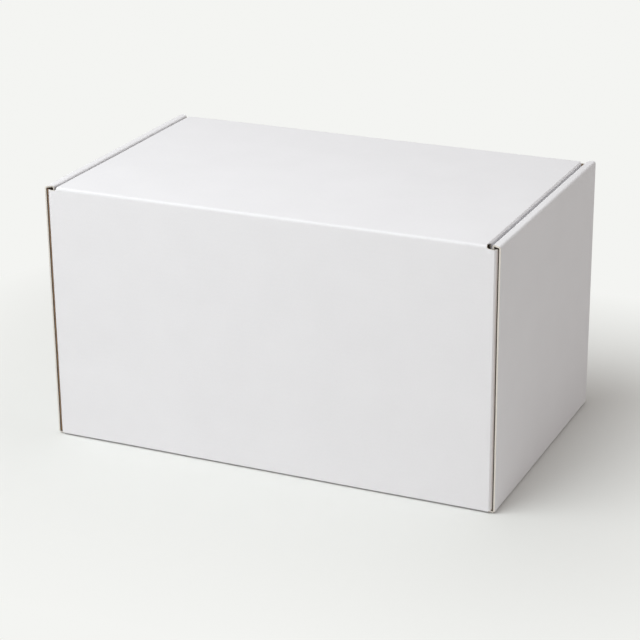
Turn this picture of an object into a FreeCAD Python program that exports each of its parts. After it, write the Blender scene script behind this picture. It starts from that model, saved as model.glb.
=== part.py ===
"""Corrugated mailer box, closed: one die-cut board folded into a tray, a hinged lid and a tuck flap.

X runs along the box, Y from the hinge wall (-Y) to the front wall (+Y), Z up from the underside.
The two end walls are rolled over: outer panel, top web, inner panel, with dust flaps caught between.
"""

import FreeCAD, Part
import math
import os

V = FreeCAD.Vector

# Outside of the closed box
length = 300.0  # X, across the outer faces of the rolled end walls
depth = 182.5  # Y, across the hinge wall and the front wall
height = 168.5  # Z, underside to the top of the lid

# Board and creases
board = 1.6  # thickness of the fluted board
fold_radius = 2.4  # outside of a crease
layer_gap = 0.5  # air between boards that lie side by side

# Rolled end walls
panel_inset = 0.5  # raw upright edges stand back from the long walls' outer faces
inner_panel_gap = 1.0  # between an inner panel's ends and the long walls
fold_relief = 0.5  # short cut between the end of a floor crease and the floor corner
tab_width = 34.0  # locking tab at the foot of an inner panel
tab_spacing = 92.0  # centre to centre of the two tabs
tab_taper = 1.5  # each side of a tab, from root to tip
tab_short = 0.3  # tab tips stop this far above the underside

# Dust flaps on the ends of the long walls
dust_length = 72.0  # from the long wall's outer face
dust_taper = 4.0  # top and bottom edges close in by this much
dust_corner = 12.0  # radius at the free end
dust_foot = 0.9  # foot of the upright crease above the underside

# Lid
lid_end_gap = 0.9  # between a lid side flap and the rolled wall
lid_flap_drop = 46.0  # lid side flaps hang this far below the lid's top
lid_flap_taper = 5.0  # each side flap narrows towards its free edge
lid_flap_corner = 14.0
relief_radius = 2.4  # round end of the slots at the lid's corners
slot_reach = 1.8  # the slots run on past the lid side flaps by this much
front_wall_drop = 2.6  # raw top edge of the front wall below the lid's top

# Tuck flap at the front of the lid
tuck_depth = 40.0  # from the lid's top to the flap's free edge
tuck_gap = 1.8  # air to the front wall, which the flap needs to swing out
tuck_side_gap = 0.8  # to the lid side flaps
tuck_taper = 6.0  # each end narrows towards the free edge
tuck_corner = 14.0

# Planes that the sizes above give
inner_radius = fold_radius - board
end_x = length / 2.0
long_y = depth / 2.0
roll_width = 3.0 * board + 2.0 * layer_gap
inner_panel_x = end_x - roll_width
dust_x = end_x - board - layer_gap
lid_x = inner_panel_x - lid_end_gap
tuck_y = long_y - board - tuck_gap
tuck_x = lid_x - board - tuck_side_gap
hinge_y = -long_y + fold_radius * (1.0 - math.sqrt(0.5))
hinge_z = height - fold_radius * (1.0 - math.sqrt(0.5))
tuck_axis_y = tuck_y - fold_radius + inner_radius * math.sqrt(0.5)
tuck_axis_z = height - fold_radius + inner_radius * math.sqrt(0.5)
overlap = 1.0  # pieces of one solid run this far into each other before they are joined
beyond = 5.0  # cutters reach past the board by this much

# Local x, y, z of a drawn outline laid along these world axes
ALONG_X = FreeCAD.Placement(V(0, 0, 0), FreeCAD.Rotation(V(0, 1, 0), V(0, 0, 1), V(1, 0, 0), "XYZ"))
ALONG_Y = FreeCAD.Placement(V(0, 0, 0), FreeCAD.Rotation(V(1, 0, 0), V(0, 0, 1), V(0, -1, 0), "XYZ"))
ALONG_Z = FreeCAD.Placement()


def rounded_face(corners):
    """A flat face from corners (x, y, radius), each rounded by its radius."""
    points = [V(x, y, 0) for x, y, _ in corners]
    edges = []
    starts = []
    ends = []
    for i, (_, _, radius) in enumerate(corners):
        here = points[i]
        back = (points[i - 1] - here).normalize()
        on = (points[(i + 1) % len(points)] - here).normalize()
        if radius <= 0:
            starts.append(here)
            ends.append(here)
            continue
        half = back.getAngle(on) / 2.0
        reach = radius / math.tan(half)
        bisector = (back + on).normalize()
        middle = here + bisector * (radius / math.sin(half) - radius)
        starts.append(here + back * reach)
        ends.append(here + on * reach)
        edges.append(Part.Arc(starts[i], middle, ends[i]).toShape())
    for i, end in enumerate(ends):
        start = starts[(i + 1) % len(starts)]
        if (start - end).Length > 1e-6:
            edges.append(Part.LineSegment(end, start).toShape())
    return Part.Face(Part.Wire(Part.__sortEdges__(edges)))


def extruded(corners, placement, low, high):
    """A rounded outline drawn across an axis and drawn out along it from low to high."""
    solid = rounded_face(corners).extrude(V(0, 0, high - low))
    solid.translate(V(0, 0, low))
    solid.Placement = placement.multiply(solid.Placement)
    return solid


def strip_corners(outer):
    """Outline of a board strip whose outer side passes through the given corners, all turning one way."""
    steps = [V(b[0] - a[0], b[1] - a[1], 0).normalize() for a, b in zip(outer, outer[1:])]
    side = 1.0 if steps[0].cross(steps[1]).z > 0 else -1.0
    inward = [V(-s.y, s.x, 0) * side for s in steps]
    last = len(outer) - 1
    corners = []
    inner = []
    for i, (x, y) in enumerate(outer):
        if i in (0, last):
            shift = inward[0 if i == 0 else -1] * board
            corners.append((x, y, 0.0))
            inner.append((x + shift.x, y + shift.y, 0.0))
        else:
            shift = (inward[i - 1] + inward[i]) * board
            corners.append((x, y, fold_radius))
            inner.append((x + shift.x, y + shift.y, inner_radius))
    return corners + inner[::-1]


def fused(shapes):
    """One solid from pieces that run into each other."""
    return shapes[0].multiFuse(shapes[1:]).removeSplitter()


def block(x_low, x_high, y_low, y_high, z_low, z_high):
    """A box between two limits on each axis."""
    return Part.makeBox(x_high - x_low, y_high - y_low, z_high - z_low, V(x_low, y_low, z_low))


def across_x(shape):
    """A shape's mirror image on the other end of the box."""
    return shape.mirror(V(0, 0, 0), V(1, 0, 0))


def across_y(shape):
    """A shape's mirror image on the other long side of the box."""
    return shape.mirror(V(0, 0, 0), V(0, 1, 0))


def mitre(crease_y, crease_z, into_lid_y, low_side):
    """Half of the space round a lid crease, cut at 45 degrees through the middle of its bend."""
    reach = 4.0 * fold_radius
    out = V(-into_lid_y, 1, 0)
    lid_side = V(into_lid_y, 1, 0) * (-1.0 if low_side else 1.0)
    centre = V(crease_y + into_lid_y * fold_radius, crease_z - fold_radius, 0)
    ring = [centre + out * reach, centre - out * reach]
    ring += [ring[1] + lid_side * 2.0 * reach, ring[0] + lid_side * 2.0 * reach]
    return extruded([(p.x, p.y, 0.0) for p in ring], ALONG_X, -length, length)


def corner_slots(crease_y, into_lid_y):
    """Round-ended slots at both ends of a lid crease, where the die cuts between neighbouring flaps."""
    top = height + beyond
    slot_end = lid_x - slot_reach
    down = extruded(
        [
            (slot_end, height - relief_radius, relief_radius),
            (length, height - relief_radius, 0.0),
            (length, top, 0.0),
            (slot_end, top, 0.0),
        ],
        ALONG_Y,
        -long_y - beyond,
        long_y + beyond,
    )
    near = crease_y + into_lid_y * relief_radius
    far = crease_y - into_lid_y * beyond
    along = extruded(
        [
            (slot_end, near, relief_radius),
            (length, near, 0.0),
            (length, far, 0.0),
            (slot_end, far, 0.0),
        ],
        ALONG_Z,
        0.0,
        top,
    )
    slot = down.common(along)
    return slot.fuse(across_x(slot))


def floor():
    """Flat bottom panel with the slots that take the inner panels' locking tabs."""
    plate = block(
        -end_x + fold_radius - overlap,
        end_x - fold_radius + overlap,
        -long_y + fold_radius,
        long_y - fold_radius,
        0.0,
        board,
    )
    flat_end = dust_x - fold_radius
    reach = long_y - fold_radius + overlap
    plate = plate.fuse(block(-flat_end, flat_end, -reach, reach, 0.0, board))
    for sign in (-1, 1):
        middle = sign * tab_spacing / 2.0
        half = tab_width / 2.0 + layer_gap
        slot = block(
            inner_panel_x - layer_gap,
            inner_panel_x + board + layer_gap,
            middle - half,
            middle + half,
            -beyond,
            beyond,
        )
        plate = plate.cut(slot).cut(across_x(slot))
    return plate


def hinge_wall():
    """Long wall that carries the lid, up to the middle of the lid crease."""
    flat_end = dust_x - fold_radius
    path = [
        (-long_y + fold_radius + overlap, 0.0),
        (-long_y, 0.0),
        (-long_y, height),
        (-long_y + 2.0 * fold_radius, height),
    ]
    wall = extruded(strip_corners(path), ALONG_X, -flat_end, flat_end)
    wall = wall.cut(mitre(-long_y, height, 1.0, low_side=False))
    return wall.cut(corner_slots(-long_y, 1.0))


def front_wall():
    """Long wall that the tuck flap slides behind, with a raw top edge."""
    flat_end = dust_x - fold_radius
    path = [
        (long_y - fold_radius - overlap, 0.0),
        (long_y, 0.0),
        (long_y, height - front_wall_drop),
    ]
    return extruded(strip_corners(path), ALONG_X, -flat_end, flat_end)


def dust_flap(top):
    """Flap at the +X end of the hinge wall, folded back between the two layers of the rolled wall."""
    path = [(dust_x - fold_radius - overlap, -long_y), (dust_x, -long_y), (dust_x, -long_y + dust_length)]
    bent = extruded(strip_corners(path), ALONG_Z, 0.0, height)
    crease_end = -long_y + fold_radius
    over_floor = board + layer_gap
    under_web = height - board - layer_gap
    free_end = -long_y + dust_length
    outline = [
        (-long_y - beyond, dust_foot, 0.0),
        (crease_end, dust_foot, 0.0),
        (crease_end + layer_gap, over_floor, 0.0),
        (free_end, over_floor + dust_taper, dust_corner),
        (free_end, under_web - dust_taper, dust_corner),
        (crease_end, min(under_web, top), 0.0),
        (-long_y - beyond, min(under_web, top), 0.0),
    ]
    return bent.common(extruded(outline, ALONG_X, 0.0, length))


def rolled_wall():
    """End wall at +X: outer panel, web over the top, and inner panel with its locking tabs."""
    path = [
        (end_x - fold_radius - overlap, 0.0),
        (end_x, 0.0),
        (end_x, height),
        (inner_panel_x, height),
        (inner_panel_x, board + layer_gap),
    ]
    outer_end = long_y - panel_inset
    inner_end = long_y - board - inner_panel_gap
    wall = extruded(strip_corners(path), ALONG_Y, -outer_end, outer_end)
    chamfer = [
        (inner_panel_x - beyond, inner_end, 0.0),
        (inner_panel_x + board, inner_end, 0.0),
        (end_x - fold_radius, outer_end, 0.0),
        (end_x - fold_radius, outer_end + beyond, 0.0),
        (inner_panel_x - beyond, outer_end + beyond, 0.0),
    ]
    end_cut = extruded(chamfer, ALONG_Z, board + layer_gap / 2.0, height + beyond)
    foot_end = long_y - fold_radius - fold_relief
    foot_cut = block(inner_panel_x, length, foot_end, long_y + beyond, -beyond, fold_radius)
    wall = wall.cut(end_cut).cut(across_y(end_cut)).cut(foot_cut).cut(across_y(foot_cut))
    tabs = []
    for sign in (-1, 1):
        middle = sign * tab_spacing / 2.0
        root = tab_width / 2.0
        tip = root - tab_taper
        foot = board + layer_gap
        outline = [
            (middle - root, foot + overlap, 0.0),
            (middle - root, foot, 0.0),
            (middle - tip, tab_short, 0.0),
            (middle + tip, tab_short, 0.0),
            (middle + root, foot, 0.0),
            (middle + root, foot + overlap, 0.0),
        ]
        tabs.append(extruded(outline, ALONG_X, inner_panel_x, inner_panel_x + board))
    return wall.multiFuse(tabs)


def tray():
    """Everything below the lid crease, folded and locked."""
    pieces = [floor(), hinge_wall(), front_wall()]
    back = dust_flap(height - relief_radius)
    front = across_y(dust_flap(height - front_wall_drop))
    end = rolled_wall()
    for piece in (back, front, end):
        pieces += [piece, across_x(piece)]
    return fused(pieces)


def lid():
    """Lid panel between its two creases, with a side flap hanging inside each rolled wall."""
    flat_end = lid_x - fold_radius
    crease_foot = height - 2.0 * fold_radius
    path = [(-long_y, crease_foot), (-long_y, height), (tuck_y, height), (tuck_y, crease_foot)]
    panel = extruded(strip_corners(path), ALONG_X, -flat_end, flat_end)
    panel = panel.cut(mitre(-long_y, height, 1.0, low_side=True))
    panel = panel.cut(mitre(tuck_y, height, -1.0, low_side=True))
    free_edge = height - lid_flap_drop
    across = [(-lid_x, free_edge), (-lid_x, height), (lid_x, height), (lid_x, free_edge)]
    start = -long_y + relief_radius
    stop = tuck_y - relief_radius
    flaps = extruded(strip_corners(across), ALONG_Y, -stop, -start)
    reach = long_y - board - hinge_y
    swing_end = hinge_y + math.sqrt(reach**2 - (hinge_z - free_edge) ** 2)
    outline = [
        (start, height + beyond, 0.0),
        (start, height - fold_radius, 0.0),
        (start + lid_flap_taper, free_edge, lid_flap_corner),
        (min(stop, swing_end) - lid_flap_taper, free_edge, lid_flap_corner),
        (stop, height - fold_radius, 0.0),
        (stop, height + beyond, 0.0),
    ]
    flaps = flaps.common(extruded(outline, ALONG_X, -length, length))
    whole = fused([panel, flaps])
    return whole.cut(corner_slots(-long_y, 1.0)).cut(corner_slots(tuck_y, -1.0))


def tuck_flap():
    """Flap at the lid's front edge, tucked inside the front wall."""
    path = [(tuck_y - 2.0 * fold_radius, height), (tuck_y, height), (tuck_y, height - tuck_depth)]
    strip = extruded(strip_corners(path), ALONG_X, -tuck_x, tuck_x)
    strip = strip.cut(mitre(tuck_y, height, -1.0, low_side=False))
    shoulder = height - fold_radius
    outline = [
        (-tuck_x, height + beyond, 0.0),
        (-tuck_x, shoulder, 0.0),
        (-tuck_x + tuck_taper, height - tuck_depth, tuck_corner),
        (tuck_x - tuck_taper, height - tuck_depth, tuck_corner),
        (tuck_x, shoulder, 0.0),
        (tuck_x, height + beyond, 0.0),
    ]
    strip = strip.common(extruded(outline, ALONG_Y, -long_y, long_y))
    return strip.cut(corner_slots(tuck_y, -1.0))


def save(name, shape):
    """Writes one piece after making sure that it is one sound solid."""
    solid = shape.Solids[0]
    print(name, "solids", len(shape.Solids), "valid", solid.isValid(), "volume", round(solid.Volume))
    solid.exportStep(os.path.join("parts", name + ".step"))


os.makedirs("parts", exist_ok=True)
save("tray", tray())
save("lid", lid())
save("tuck_flap", tuck_flap())
print("lid hinge axis y, z", round(hinge_y, 4), round(hinge_z, 4))
print("tuck flap axis y, z", round(tuck_axis_y, 4), round(tuck_axis_z, 4))
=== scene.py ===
"""Looks of the corrugated mailer box: its die-cut blank, creased, folded and given its paper faces."""

import math

import bmesh
import bpy
from mathutils import Matrix, Vector, noise


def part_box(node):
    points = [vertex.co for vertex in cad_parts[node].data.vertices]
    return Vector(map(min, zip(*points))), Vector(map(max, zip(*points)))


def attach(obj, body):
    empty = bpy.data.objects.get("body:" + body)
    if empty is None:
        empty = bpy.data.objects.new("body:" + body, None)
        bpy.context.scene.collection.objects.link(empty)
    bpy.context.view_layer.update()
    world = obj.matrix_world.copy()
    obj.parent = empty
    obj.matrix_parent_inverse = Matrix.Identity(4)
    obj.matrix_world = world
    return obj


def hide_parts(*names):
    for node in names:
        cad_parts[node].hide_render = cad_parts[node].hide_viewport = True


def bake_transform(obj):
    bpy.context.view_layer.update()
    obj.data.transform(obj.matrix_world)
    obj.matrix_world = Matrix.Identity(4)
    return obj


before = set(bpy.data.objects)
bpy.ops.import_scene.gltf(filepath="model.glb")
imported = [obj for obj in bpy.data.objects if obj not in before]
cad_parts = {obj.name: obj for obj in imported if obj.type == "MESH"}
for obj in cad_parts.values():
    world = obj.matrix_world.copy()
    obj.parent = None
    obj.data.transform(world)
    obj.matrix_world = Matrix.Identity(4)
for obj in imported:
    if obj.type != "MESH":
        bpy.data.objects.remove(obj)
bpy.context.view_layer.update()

MM = 0.001

# Board, creases and clearances, as the folded sheet has them
board = 1.6 * MM
fold_radius = 2.4 * MM
foot_radius = 1.0 * MM  # the creases that the box stands on are pressed sharp
roll_radius = 1.7 * MM
tight_radius = 1.8 * MM  # the second crease of a rolled wall is pressed sharper
dust_radius = 2.0 * MM
dust_gap = 0.1 * MM  # the dust flaps lie against the end walls
lid_radius = 1.0 * MM
lid_play = 1.2 * MM  # the lid's side flaps hang this much clear of their plane in the frame
foot_lift = 0.85 * MM  # the bottom panel's rim curls up by this much
layer_gap = 0.5 * MM
panel_inset = 0.8 * MM
inner_panel_gap = 1.0 * MM
fold_relief = 0.5 * MM
tab_width = 34.0 * MM
tab_spacing = 92.0 * MM
tab_taper = 1.5 * MM
tab_short = 0.3 * MM
dust_length = 72.0 * MM
dust_taper = 4.0 * MM
dust_corner = 12.0 * MM
lid_flap_taper = 5.0 * MM
lid_flap_corner = 14.0 * MM
front_wall_drop = 2.6 * MM
tuck_taper = 6.0 * MM
tuck_corner = 14.0 * MM
slot_reach = 1.8 * MM  # the corner slots run on past the lid's side flaps by this much
lid_flap_cut_back = 4.6 * MM  # the lid's side flaps begin this far from the hinge crease
tuck_notch = 0.3 * MM  # the tuck flap's crease is this much shorter than the lid at each end
curl_width = 30.0 * MM
curl_height = 8.0 * MM
raw_edge_round = 0.55 * MM
flute_pitch = 3.3 * MM

# The same planes as the frame's own nodes
tray_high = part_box("tray")[1]
lid_low, lid_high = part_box("lid")
tuck_low, tuck_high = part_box("tuck_flap")
end_x = tray_high.x
long_y = tray_high.y
top = tray_high.z
roll_width = 3.0 * board + 2.0 * layer_gap
inner_panel_x = end_x - roll_width
dust_x = end_x - board - dust_gap
slot_x = lid_high.x
lid_x = slot_x - lid_play
tuck_y = tuck_high.y
tuck_x = tuck_high.x - lid_play
tuck_depth = top - tuck_low.z
lid_flap_drop = top - lid_low.z

# How finely the sheet is divided
bend_steps = 10
panel_step = 5.0 * MM
corner_steps = 8
seam_reach = 0.3 * MM  # an edge this near to a seam belongs to the seam

FACE, INSIDE, EDGE = 0, 1, 2

# Colours of the backdrop and of the light from all round, and how far from the box the
# floor takes to fade into the backdrop
backdrop_colour = (0.905, 0.91, 0.888)
surround_colour = (1.0, 0.957, 0.93)
shadow_reach = 205.0 * MM


class FoldedPath:
    """Outer side of a strip of board with right-angled bends, measured by the length along it."""

    def __init__(self, corners, creases):
        points = [Vector(c) for c in corners]
        self.pieces = []
        self.marks = [0.0]
        length = 0.0
        here = points[0]
        for i in range(1, len(points)):
            ahead = (points[i] - here).normalized()
            last = i == len(points) - 1
            radius, ridge, flat = (0.0, 0.0, 0.0) if last else creases[i - 1]
            run = (points[i] - here).length - radius
            self.pieces.append((length, here, ahead, None, None))
            length += run
            here = here + ahead * run
            self.marks.append(length)
            if last:
                break
            turn = (points[i + 1] - points[i]).normalized()
            self.pieces.append((length, here, ahead, turn, (radius, ridge, flat)))
            length += radius * math.pi / 2.0
            here = here + (ahead + turn) * radius
            self.marks.append(length)

    def at(self, length):
        """Place on the strip at a length from its start."""
        reached = [p for p in self.pieces if p[0] <= max(length, 0.0) + 1e-9]
        start, here, ahead, turn, crease = reached[-1]
        if turn is None:
            return here + ahead * (length - start)
        radius, ridge, flat = crease
        angle = (length - start) / radius
        outward = ahead * math.sin(angle) - turn * math.cos(angle)
        curved = here + turn * radius + outward * (radius + ridge * math.sin(2.0 * angle) ** 2)
        straight = here + (ahead + turn) * radius * angle / (math.pi / 2.0)
        return curved.lerp(straight, flat)

    def cuts(self):
        """Lengths at which the strip is divided: finely in its bends and evenly in its flat runs."""
        found = []
        for i in range(len(self.marks) - 1):
            low, high = self.marks[i], self.marks[i + 1]
            steps = bend_steps if i % 2 else max(1, round((high - low) / panel_step))
            found += [low + (high - low) * k / steps for k in range(steps)]
        return found + [self.marks[-1]]


# Creases: outside radius, ridge where the fold is pressed sharp, and how flat it lies
# between two score lines
foot = (foot_radius, 0.0, 0.0)
rolled = (roll_radius, 0.0, 0.0)
tight = (tight_radius, 0.15 * MM, 0.0)
pressed = (fold_radius, 0.28 * MM, 0.0)
dust_crease = (dust_radius, 0.0, 0.85)
lid_crease = (lid_radius, 0.0, 0.85)

roll = FoldedPath(
    ((0, 0), (end_x, 0), (end_x, top), (inner_panel_x, top), (inner_panel_x, board + layer_gap)),
    (foot, rolled, tight),
)
hinge_side = FoldedPath(
    ((0, 0), (-long_y, 0), (-long_y, top), (tuck_y, top), (tuck_y, top - tuck_depth)),
    (foot, pressed, pressed),
)
front_side = FoldedPath(((0, 0), (long_y, 0), (long_y, top - front_wall_drop)), (foot,))
dust = FoldedPath(((0, 0), (dust_x, 0), (dust_x, dust_length)), (dust_crease,))
lid_across = FoldedPath(((0, 0), (lid_x, 0), (lid_x, lid_flap_drop)), (lid_crease,))

floor_x = end_x - foot_radius
floor_y = long_y - foot_radius
crease_y = long_y - fold_radius
wall_x = dust_x - dust_radius
lid_flat_x = lid_x - lid_radius


def place_roll(u, t):
    """Floor and rolled end walls, which turn about creases that run along Y."""
    across = roll.at(abs(u))
    return Vector((math.copysign(across.x, u), t, across.y))


def place_long(u, t):
    """Hinge wall, lid and tuck flap for negative t, front wall for positive t."""
    along = (hinge_side if t < 0 else front_side).at(abs(t))
    return Vector((u, along.x, along.y))


def place_dust(u, t):
    """Dust flaps, which turn back from the ends of the long walls."""
    wall = (hinge_side if t < 0 else front_side).at(abs(t))
    across = dust.at(abs(u))
    inward = across.y if t < 0 else -across.y
    return Vector((math.copysign(across.x, u), wall.x + inward, wall.y))


def place_lid_flap(u, t):
    """Side flaps of the lid, which hang from creases that run along Y."""
    along = hinge_side.at(abs(t))
    across = lid_across.at(abs(u))
    return Vector((math.copysign(across.x, u), along.x, along.y - across.y))


def rounded(corners):
    """Outline from corners (u, t, radius), with each radius turned into short steps."""
    points = [Vector((u, t)) for u, t, _ in corners]
    outline = []
    for i, (_, _, radius) in enumerate(corners):
        here = points[i]
        if radius <= 0:
            outline.append(here)
            continue
        back = (points[i - 1] - here).normalized()
        on = (points[(i + 1) % len(points)] - here).normalized()
        half = back.angle(on) / 2.0
        centre = here + (back + on).normalized() * radius / math.sin(half)
        start = here + back * radius / math.tan(half)
        arm = start - centre
        turn = (math.pi - 2.0 * half) * math.copysign(1.0, arm.cross(here - centre))
        for k in range(corner_steps + 1):
            spun = arm.copy()
            spun.rotate(Matrix.Rotation(turn * k / corner_steps, 2))
            outline.append(centre + spun)
    return [tuple(p) for p in outline]


def mirrored(outline, u=1.0, t=1.0):
    """The same outline on another side of the blank."""
    return [(p[0] * u, p[1] * t) for p in outline]


def add_panel(sheet, outline, place, u_cuts, t_cuts, holes=()):
    """Draws a panel of the flat blank, divides it, opens its slots and carries it to its place."""
    flat = bmesh.new()
    corners = [flat.verts.new((u, t, 0.0)) for u, t in outline]
    face = flat.faces.new(corners)
    face.normal_update()
    if face.normal.z > 0:
        face.normal_flip()
    for axis, cuts in ((0, u_cuts), (1, t_cuts)):
        low = min(v.co[axis] for v in flat.verts)
        high = max(v.co[axis] for v in flat.verts)
        for cut in sorted({c * s for c in cuts for s in (-1.0, 1.0)}):
            if low + 1e-6 < cut < high - 1e-6:
                at = Vector((cut, 0, 0)) if axis == 0 else Vector((0, cut, 0))
                everything = flat.verts[:] + flat.edges[:] + flat.faces[:]
                across = Vector((1, 0, 0)) if axis == 0 else Vector((0, 1, 0))
                bmesh.ops.bisect_plane(flat, geom=everything, dist=1e-7, plane_co=at, plane_no=across)
    inside = []
    for f in flat.faces:
        middle = f.calc_center_median()
        if any(a < middle.x < b and c < middle.y < d for a, b, c, d in holes):
            inside.append(f)
    bmesh.ops.delete(flat, geom=inside, context="FACES")
    blank = flat.loops.layers.uv.new("blank")
    for f in flat.faces:
        for loop in f.loops:
            loop[blank].uv = loop.vert.co.xy
    for v in flat.verts:
        v.co = place(v.co.x, v.co.y)
    panel = bpy.data.meshes.new("panel")
    flat.to_mesh(panel)
    flat.free()
    sheet.from_mesh(panel)
    bpy.data.meshes.remove(panel)


def new_sheet():
    """An empty sheet with the layer that remembers where each point lay on the blank."""
    sheet = bmesh.new()
    sheet.loops.layers.uv.new("blank")
    return sheet


def unevenness(place):
    """Slow waves in the board, in metres, at a place in the box."""
    slow = noise.noise(place * 14.0 + Vector((3.1, 7.7, 1.3)))
    small = noise.noise(place * 46.0 + Vector((9.2, 0.4, 5.8)))
    fine = noise.noise(place * 120.0 + Vector((2.6, 4.4, 8.1)))
    return (0.20 * slow + 0.05 * small + 0.03 * fine - 0.06) * MM


def curl(place):
    """How far the rim of the bottom panel and the feet of the walls lie above the ground."""
    inset = min(end_x - abs(place.x), long_y - abs(place.y))
    rim = max(0.0, 1.0 - inset / curl_width) ** 2
    foot_share = max(0.0, 1.0 - place.z / curl_height)
    return Vector((0.0, 0.0, foot_lift * rim * foot_share))


def board_piece(name, sheet, materials, body, seam=None):
    """Gives a folded sheet its thickness, its two papers and its cut edges, and rounds those edges."""
    bmesh.ops.remove_doubles(sheet, verts=sheet.verts, dist=0.005 * MM)
    sheet.normal_update()
    moves = [(v, v.normal * unevenness(v.co) + curl(v.co)) for v in sheet.verts]
    for v, move in moves:
        v.co += move
    mesh = bpy.data.meshes.new(name)
    sheet.to_mesh(mesh)
    sheet.free()
    for material in materials:
        mesh.materials.append(material)
    thin = bpy.data.objects.new(name + "_sheet", mesh)
    bpy.context.collection.objects.link(thin)
    thick = thin.modifiers.new("board", "SOLIDIFY")
    thick.thickness = board
    thick.offset = -1.0
    thick.use_even_offset = True
    thick.material_offset = INSIDE
    thick.material_offset_rim = EDGE
    graph = bpy.context.evaluated_depsgraph_get()
    solid = bpy.data.meshes.new_from_object(thin.evaluated_get(graph))
    solid.name = name
    bpy.data.objects.remove(thin)

    bm = bmesh.new()
    bm.from_mesh(solid)
    through = bm.loops.layers.float_color.new("through")
    for f in bm.faces:
        for loop in f.loops:
            papers = {g.material_index for g in loop.vert.link_faces}
            depth = 0.0 if FACE in papers else 1.0
            loop[through] = (depth, depth, depth, 1.0)
    rims = []
    for e in bm.edges:
        kinds = sorted(f.material_index for f in e.link_faces)
        middle = (e.verts[0].co + e.verts[1].co) / 2.0
        if kinds == [FACE, EDGE] and not (seam and seam(middle)):
            rims.append(e)
    bmesh.ops.bevel(
        bm,
        geom=rims,
        offset=raw_edge_round,
        offset_type="OFFSET",
        segments=3,
        profile=0.5,
        affect="EDGES",
        clamp_overlap=True,
        material=FACE,
    )
    bm.to_mesh(solid)
    bm.free()
    for p in solid.polygons:
        p.use_smooth = True
    solid.set_sharp_from_angle(angle=math.radians(38.0))
    piece = bpy.data.objects.new(name, solid)
    bpy.context.collection.objects.link(piece)
    even = piece.modifiers.new("even shading", "WEIGHTED_NORMAL")
    even.mode = "FACE_AREA"
    even.weight = 100
    even.keep_sharp = True
    if body:
        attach(piece, body)
    return piece


class Socket:
    """An output of a node that takes part in plain arithmetic."""

    def __init__(self, tree, output):
        self.tree = tree
        self.output = output

    def with_math(self, operation, first, second):
        return self.tree.node("Math", {"operation": operation}, {0: first, 1: second})

    def __add__(self, other):
        return self.with_math("ADD", self, other)

    def __radd__(self, other):
        return self.with_math("ADD", other, self)

    def __sub__(self, other):
        return self.with_math("SUBTRACT", self, other)

    def __rsub__(self, other):
        return self.with_math("SUBTRACT", other, self)

    def __mul__(self, other):
        return self.with_math("MULTIPLY", self, other)

    def __rmul__(self, other):
        return self.with_math("MULTIPLY", other, self)


class Tree:
    """A shader tree whose nodes come from one method."""

    def __init__(self, owner):
        owner.use_nodes = True
        self.tree = owner.node_tree
        self.tree.nodes.clear()

    def node(self, kind, settings=None, inputs=None, output=0):
        """Adds a node, sets it up, fills or links its sockets and returns one of its outputs."""
        node = self.tree.nodes.new("ShaderNode" + kind)
        for key, value in (settings or {}).items():
            setattr(node, key, value)
        for key, value in (inputs or {}).items():
            socket = node.inputs[key]
            if isinstance(value, Socket):
                self.tree.links.new(value.output, socket)
            else:
                socket.default_value = value
        return Socket(self, node.outputs[output]) if node.outputs else node

    def mix(self, amount, first, second):
        """Colour between two colours."""
        return self.node("Mix", {"data_type": "RGBA"}, {0: amount, 6: first, 7: second}, output=2)

    def step(self, value, low, high):
        """0 below low and 1 above high, with a soft step between them."""
        limits = {"Value": value, "From Min": low, "From Max": high}
        return self.node("MapRange", {"interpolation_type": "SMOOTHSTEP"}, limits)


def colour(*rgb):
    """A linear colour with its alpha."""
    return (*rgb, 1.0)


def paper_texture(tree):
    """Place in space, with the fibre, cloud and flute patterns that every paper face shares."""
    blank = tree.node("UVMap", {"uv_map": "blank"})
    t = tree.node("SeparateXYZ", inputs={0: blank}, output=1)
    place = tree.node("TexCoord", output="Object")
    fine = {"Vector": place, "Scale": 900.0, "Detail": 4.0, "Roughness": 0.6}
    fibre = tree.node("TexNoise", inputs=fine)
    coarse = {"Vector": place, "Scale": 34.0, "Detail": 3.0, "Roughness": 0.5}
    cloud = tree.node("TexNoise", inputs=coarse)
    flute = tree.node("Math", {"operation": "SINE"}, {0: t * (2.0 * math.pi / flute_pitch)})
    return place, fibre, cloud, flute


def paper(name, base, dark, spread, flecks, roughness, ribs):
    """A liner paper: its colour, how much it varies, its flecks and the flutes that show through."""
    material = bpy.data.materials.new(name)
    tree = Tree(material)
    place, fibre, cloud, flute = paper_texture(tree)
    mottle = fibre * 0.5 + cloud * 0.5
    tint = tree.mix(tree.step(mottle, 0.5 - spread, 0.5 + spread), colour(*dark), colour(*base))
    speck = tree.node("TexVoronoi", inputs={"Vector": place, "Scale": 420.0, "Randomness": 1.0})
    spots = 1.0 - tree.step(speck, 0.05, 0.16)
    patch = tree.step(cloud, 0.52, 0.62)
    tint = tree.mix(spots * patch * flecks, tint, colour(*[c * 0.55 for c in dark]))
    height = fibre * 0.012 + cloud * 0.10 + flute * ribs
    bump = tree.node("Bump", inputs={"Strength": 1.0, "Distance": 1.0 * MM, "Height": height})
    shader = tree.node(
        "BsdfPrincipled",
        inputs={
            "Base Color": tint,
            "Roughness": roughness + cloud * 0.06,
            "Specular IOR Level": 0.35,
            "Normal": bump,
        },
    )
    tree.node("OutputMaterial", inputs={"Surface": shader})
    return material


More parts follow.
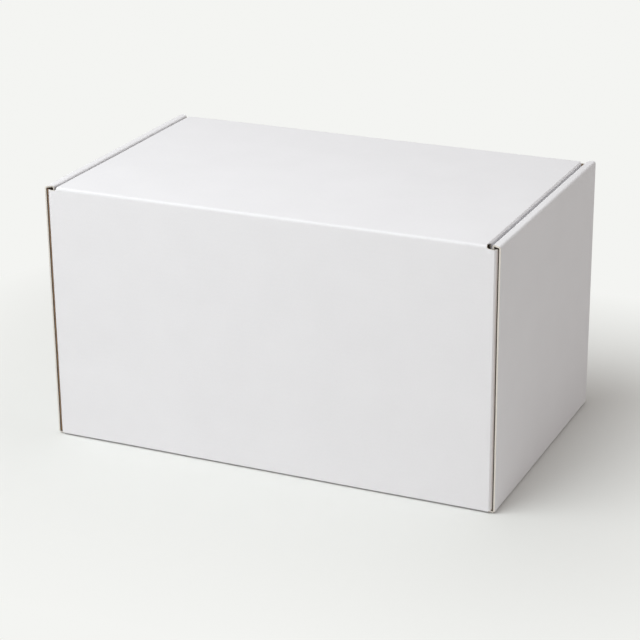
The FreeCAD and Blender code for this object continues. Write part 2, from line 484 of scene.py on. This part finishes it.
def cut_board(name):
    """Cut edge of the board: the white liner pressed over it, the flutes and the inner liner, with
    painted shade darkening the flutes and the inner liner.
    """
    material = bpy.data.materials.new(name)
    tree = Tree(material)
    place, fibre, cloud, flute = paper_texture(tree)
    depth = tree.node("SeparateColor", inputs={0: tree.node("VertexColor", {"layer_name": "through"})})
    # Depths are shares of the board's thickness, counted from its white face
    crooked = depth + (cloud - 0.5) * 0.12
    wave = tree.node("Math", {"operation": "ABSOLUTE"}, {0: crooked - (0.79 + 0.07 * flute)})
    paper_line = 1.0 - tree.step(wave, 0.03, 0.10)
    # Painted shade: the near-black between the flute lines and the dark brown of the flutes stand in
    # for the shade inside the open flutes
    flute_hollow_painted_shade = tree.mix(paper_line, colour(0.010, 0.007, 0.006), colour(0.050, 0.034, 0.024))
    # The inner liner's edge is kraft brown darkened with painted shade
    inner = tree.step(crooked, 0.90, 0.97)
    brown = tree.mix(inner, flute_hollow_painted_shade, colour(0.10, 0.072, 0.052))
    outer = 1.0 - tree.step(crooked, 0.56, 0.62)
    tint = tree.mix(outer, brown, colour(0.70, 0.66, 0.60))
    relief = fibre + paper_line
    bump = tree.node("Bump", inputs={"Strength": 0.6, "Distance": 0.3 * MM, "Height": relief})
    shader = tree.node("BsdfPrincipled", inputs={"Base Color": tint, "Roughness": 0.85, "Normal": bump})
    tree.node("OutputMaterial", inputs={"Surface": shader})
    return material


def slot_rectangles():
    """The four slots in the floor that take the locking tabs, in blank coordinates."""
    found = []
    for side in (-1, 1):
        ends = sorted((side * (inner_panel_x - layer_gap), side * (inner_panel_x + board + layer_gap)))
        for sign in (-1, 1):
            middle = sign * tab_spacing / 2.0
            half = tab_width / 2.0 + layer_gap
            found.append((*ends, middle - half, middle + half))
    return found


def rolled_wall_outline():
    """Outline of the rolled wall at +X on the blank: outer panel, web, inner panel and two tabs."""
    floor_end, outer_low, outer_high, web_low, web_high, inner_high, inner_foot = roll.marks[1:]
    foot_end = floor_y - fold_relief
    outer_end = long_y - panel_inset
    inner_end = long_y - board - inner_panel_gap
    half = [
        (floor_end, foot_end),
        (outer_low, foot_end),
        (outer_low, outer_end),
        (web_low, outer_end),
        (web_high + fold_radius / 3.0, inner_end),
        (inner_foot, inner_end),
    ]
    tab_end = inner_foot + board + layer_gap - tab_short
    middle = tab_spacing / 2.0
    root = tab_width / 2.0
    tip = root - tab_taper
    half += [
        (inner_foot, middle + root),
        (tab_end, middle + tip),
        (tab_end, middle - tip),
        (inner_foot, middle - root),
    ]
    return half + mirrored(half[::-1], t=-1.0)


def dust_flap_outline(wall_low, wall_high):
    """Outline of a dust flap on the blank, between two lengths up its wall."""
    free_end = dust.marks[-1]
    start = dust.marks[1]
    crease_end = dust.marks[2]
    rise = board + layer_gap - foot_radius
    web_clearance = layer_gap + board
    flap_high = wall_low + (top - web_clearance - foot_radius)
    return rounded(
        [
            (start, -wall_low, 0.0),
            (crease_end, -wall_low, 0.0),
            (free_end, -(wall_low + rise + dust_taper), dust_corner),
            (free_end, -(flap_high - dust_taper), dust_corner),
            (crease_end, -min(wall_high, flap_high), 0.0),
            (start, -wall_high, 0.0),
        ]
    )


def tray_board(materials):
    """Floor, both long walls with their dust flaps, and both rolled end walls, as one folded sheet."""
    sheet = new_sheet()
    holes = slot_rectangles()
    foot_end = floor_y - fold_relief
    u_cuts = [wall_x, floor_x] + [k * panel_step for k in range(1 + int(floor_x / panel_step))]
    floor_cuts = [foot_end, floor_y] + [k * panel_step for k in range(1 + int(foot_end / panel_step))]
    slot_u = [abs(h[0]) for h in holes] + [abs(h[1]) for h in holes]
    slot_t = [abs(h[2]) for h in holes] + [abs(h[3]) for h in holes]
    u_cuts += slot_u
    floor_cuts += slot_t
    floor = [(-floor_x, -floor_y), (floor_x, -floor_y), (floor_x, floor_y), (-floor_x, floor_y)]
    add_panel(sheet, floor, place_roll, u_cuts, floor_cuts, holes)
    for path, side in ((hinge_side, -1.0), (front_side, 1.0)):
        wall_low = path.marks[1]
        wall_high = hinge_side.marks[3] if side < 0 else path.marks[-1]
        low, high = side * wall_low, side * wall_high
        wall = [(-wall_x, low), (wall_x, low), (wall_x, high), (-wall_x, high)]
        add_panel(sheet, wall, place_long, u_cuts, path.cuts())
        flap = dust_flap_outline(path.marks[2], wall_high)
        for end in (-1.0, 1.0):
            add_panel(sheet, mirrored(flap, u=end, t=-side), place_dust, dust.cuts(), path.cuts())
    for end in (-1.0, 1.0):
        add_panel(sheet, mirrored(rolled_wall_outline(), u=end), place_roll, roll.cuts(), floor_cuts)

    def at_lid_crease(place):
        level = abs(place.z - (top - fold_radius)) < seam_reach
        return level and place.y < -crease_y and abs(place.x) < slot_x

    piece = board_piece("tray_board", sheet, materials, "tray", seam=at_lid_crease)
    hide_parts("tray")
    return piece


def lid_board(materials):
    """Lid panel with a side flap hanging at each end."""
    sheet = new_sheet()
    low, high = hinge_side.marks[4], hinge_side.marks[5]
    panel = [(-lid_flat_x, -low), (lid_flat_x, -low), (lid_flat_x, -high), (-lid_flat_x, -high)]
    add_panel(sheet, panel, place_long, lid_across.cuts(), hinge_side.cuts())
    free_edge = lid_across.marks[-1]
    crease_end = lid_across.marks[2]
    hinge = fold_radius * (1.0 - math.sqrt(0.5))
    reach = 2.0 * long_y - board - hinge
    swing = math.sqrt(reach**2 - (lid_flap_drop - hinge) ** 2)
    far = low + swing + hinge - fold_radius
    flap = rounded(
        [
            (lid_flat_x, -low, 0.0),
            (crease_end, -(low + lid_flap_cut_back), 0.0),
            (free_edge, -(low + lid_flap_taper), lid_flap_corner),
            (free_edge, -(min(high, far) - lid_flap_taper), lid_flap_corner),
            (crease_end, -high, 0.0),
            (lid_flat_x, -high, 0.0),
        ]
    )
    for end in (-1.0, 1.0):
        add_panel(sheet, mirrored(flap, u=end), place_lid_flap, lid_across.cuts(), hinge_side.cuts())

    def at_creases(place):
        ends = place.y < -crease_y + seam_reach or place.y > tuck_y - fold_radius - seam_reach
        return ends and abs(place.x) < lid_flat_x + 0.1 * MM and place.z > top - board - 1.0 * MM

    piece = board_piece("lid_board", sheet, materials, "lid", seam=at_creases)
    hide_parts("lid")
    return piece


def tuck_board(materials):
    """Tuck flap below its crease."""
    sheet = new_sheet()
    low, high = hinge_side.marks[6], hinge_side.marks[7]
    half = [(tuck_x, -low, 0.0), (tuck_x - tuck_taper, -high, tuck_corner)]
    other = [(-u, t, r) for u, t, r in half[::-1]]
    add_panel(sheet, rounded(half + other), place_long, lid_across.cuts(), hinge_side.cuts())

    def at_crease(place):
        return place.z > top - fold_radius - seam_reach

    piece = board_piece("tuck_flap_board", sheet, materials, "tuck_flap", seam=at_crease)
    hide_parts("tuck_flap")
    return piece


def crease_board(name, first, last, half_widths, materials):
    """The bent strip between two panels of the lid, narrowed at its ends by the corner slots."""
    near_x, middle_x, far_x = half_widths
    sheet = new_sheet()
    ends = []
    steps = 2 * bend_steps
    for k in range(steps + 1):
        share = k / steps
        shoulder = near_x if share < 0.5 else far_x
        dip = math.sqrt(max(0.0, 1.0 - (2.0 * share - 1.0) ** 2))
        ends.append((shoulder - (shoulder - middle_x) * dip, -(first + (last - first) * share)))
    outline = ends + mirrored(ends[::-1], u=-1.0)
    add_panel(sheet, outline, place_long, lid_across.cuts(), hinge_side.cuts())

    def at_seams(place):
        flat = hinge_side.at(first), hinge_side.at(last)
        inside = lid_flat_x - 0.5 * MM
        nearest = min(abs(place.z - flat[0].y), abs(place.y - flat[1].x))
        return abs(place.x) < inside and nearest < seam_reach

    piece = board_piece(name, sheet, materials, None, seam=at_seams)
    return piece


def lid_creases(materials):
    """The two creases that bend when the lid opens."""
    near, far = hinge_side.marks[3], hinge_side.marks[4]
    half_widths = (slot_x, slot_x - slot_reach, lid_flat_x)
    hinge = crease_board("lid_crease", near, far, half_widths, materials)
    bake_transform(hinge)
    near, far = hinge_side.marks[5], hinge_side.marks[6]
    half_widths = (lid_flat_x, lid_flat_x - tuck_notch, tuck_x)
    tuck = crease_board("tuck_crease", near, far, half_widths, materials)
    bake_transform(tuck)
    return hinge, tuck


def stage():
    """A pale floor that keeps the box's shadow, and a pale surround."""
    sheet = bmesh.new()
    bmesh.ops.create_grid(sheet, x_segments=1, y_segments=1, size=6.0)
    mesh = bpy.data.meshes.new("floor")
    sheet.to_mesh(mesh)
    sheet.free()
    material = bpy.data.materials.new("pale sweep")
    tree = Tree(material)
    rays = tree.node("LightPath", output="Is Camera Ray")
    place = tree.node("TexCoord", output="Object")
    aside = tree.node("VectorMath", {"operation": "ABSOLUTE"}, {0: place})
    outside = tree.node("VectorMath", {"operation": "SUBTRACT"}, {0: aside, 1: (end_x, long_y, 0.0)})
    beyond = tree.node("VectorMath", {"operation": "MAXIMUM"}, {0: outside, 1: (0.0, 0.0, 0.0)})
    away = tree.node("VectorMath", {"operation": "LENGTH"}, {0: beyond}, output="Value")
    share = tree.node("MapRange", inputs={"Value": away, "From Min": 0.0, "From Max": shadow_reach})
    plain = tree.node("BsdfDiffuse", inputs={"Color": colour(0.75, 0.753, 0.734)})
    glow = tree.node("Emission", inputs={"Color": colour(*backdrop_colour), "Strength": 1.0})
    seen = tree.node("MixShader", inputs={0: share, 1: plain, 2: glow})
    bounce = tree.node("BsdfDiffuse", inputs={"Color": colour(0.77, 0.77, 0.755)})
    both = tree.node("MixShader", inputs={0: rays, 1: bounce, 2: seen})
    tree.node("OutputMaterial", inputs={"Surface": both})
    mesh.materials.append(material)
    floor = bpy.data.objects.new("floor", mesh)
    bpy.context.collection.objects.link(floor)


def surround():
    """Soft light from all round, seen by the camera as a pale backdrop."""
    world = bpy.data.worlds.new("surround")
    bpy.context.scene.world = world
    tree = Tree(world)
    rays = tree.node("LightPath", output="Is Camera Ray")
    way = tree.node("TexCoord", output="Generated")
    height = tree.node("SeparateXYZ", inputs={0: way}, output=2)
    low = tree.node("Background", inputs={"Color": colour(*surround_colour), "Strength": 0.62})
    high = tree.node("Background", inputs={"Color": colour(*surround_colour), "Strength": 0.45})
    light = tree.node("MixShader", inputs={0: tree.step(height, 0.1, 0.9), 1: low, 2: high})
    backdrop = tree.node("Background", inputs={"Color": colour(*backdrop_colour), "Strength": 1.0})
    both = tree.node("MixShader", inputs={0: rays, 1: light, 2: backdrop})
    tree.node("OutputWorld", inputs={"Surface": both})


def softbox(name, direction, distance, size, watts):
    """A square lamp that faces the middle of the box."""
    lamp = bpy.data.lights.new(name, "AREA")
    lamp.size = size
    lamp.energy = watts
    lamp.color = (0.94, 0.985, 1.0)
    made = bpy.data.objects.new(name, lamp)
    towards = Vector(direction).normalized()
    made.location = Vector((0.0, 0.0, top / 2.0)) + towards * distance
    made.rotation_euler = towards.to_track_quat("Z", "Y").to_euler()
    bpy.context.collection.objects.link(made)


def camera():
    """The photograph's camera, from a fit to the box's own edges."""
    focal_pixels = 2066.55
    frame_pixels = 640.0
    azimuth, elevation, roll_angle = (math.radians(a) for a in (24.373, 21.171, -0.536))
    aim_right, aim_up, distance = -3.418 * MM, -14.045 * MM, 1334.3 * MM
    back = Vector(
        (
            math.sin(azimuth) * math.cos(elevation),
            -math.cos(azimuth) * math.cos(elevation),
            math.sin(elevation),
        )
    )
    right = (-back).cross(Vector((0, 0, 1))).normalized()
    up = right.cross(-back)
    turned_right = right * math.cos(roll_angle) + up * math.sin(roll_angle)
    turned_up = up * math.cos(roll_angle) - right * math.sin(roll_angle)
    aim = Vector((0, 0, top / 2.0)) + turned_right * aim_right + turned_up * aim_up
    lens = bpy.data.cameras.new("camera")
    lens.sensor_width = 36.0
    lens.lens = focal_pixels * lens.sensor_width / frame_pixels
    made = bpy.data.objects.new("camera", lens)
    turn = Matrix((turned_right, turned_up, back)).transposed().to_4x4()
    made.matrix_world = Matrix.Translation(aim + back * distance) @ turn
    bpy.context.collection.objects.link(made)
    bpy.context.scene.camera = made


white = paper(
    "white liner",
    base=(0.815, 0.808, 0.825),
    dark=(0.79, 0.783, 0.80),
    spread=0.22,
    flecks=0.0,
    roughness=0.62,
    ribs=0.005,
)
brown = paper(
    "brown liner",
    base=(0.43, 0.29, 0.175),
    dark=(0.33, 0.215, 0.125),
    spread=0.2,
    flecks=0.5,
    roughness=0.8,
    ribs=0.02,
)
edge = cut_board("cut edge")
papers = (white, brown, edge)

tray_board(papers)
lid_board(papers)
tuck_board(papers)
lid_creases(papers)

stage()
surround()
softbox("key", direction=(-0.31, -0.48, 0.83), distance=1.25, size=1.0, watts=12.4)
camera()

bpy.context.scene.view_settings.view_transform = "Standard"
